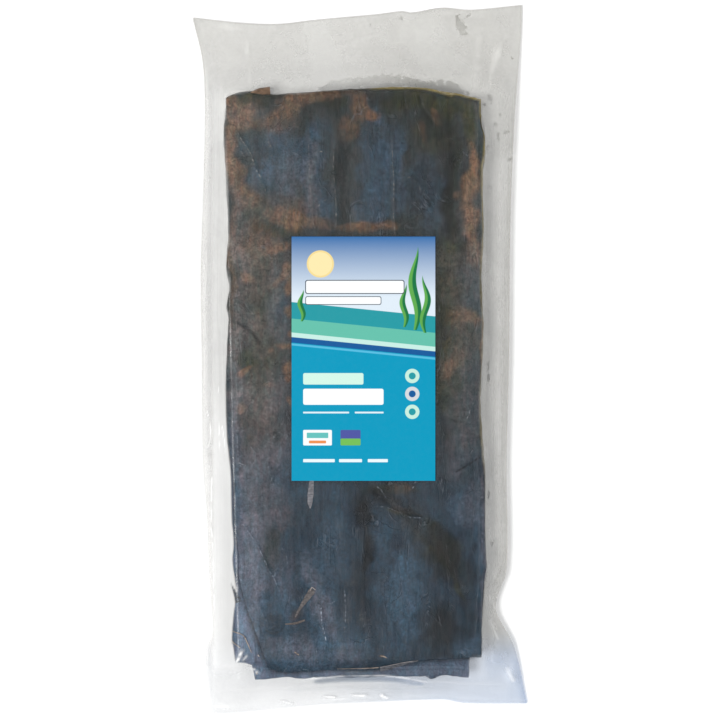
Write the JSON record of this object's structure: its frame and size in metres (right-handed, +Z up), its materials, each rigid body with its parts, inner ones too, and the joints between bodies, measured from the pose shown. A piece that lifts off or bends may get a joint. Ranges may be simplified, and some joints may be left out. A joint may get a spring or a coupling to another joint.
{
  "type": "bag of dried kelp sheets",
  "caption": "Sealed clear plastic bag holding a flat block of dried kelp sheets, with a printed paper label on its front.",
  "frame": {"origin": "on the table, under the middle of the bag's outline", "axes": "+Z up from the table, out of the labelled front; +Y towards the bag's top seal; +X to the right of someone reading the label"},
  "size_m": [0.2338, 0.4972, 0.0312],
  "materials": {
    "packed_kelp": "satin",
    "film": "gloss",
    "kelp": "satin",
    "label": "satin"
  },
  "bodies": {
    "root": {"bag": "packed_kelp", "label": "label"}
  },
  "joints": []
}
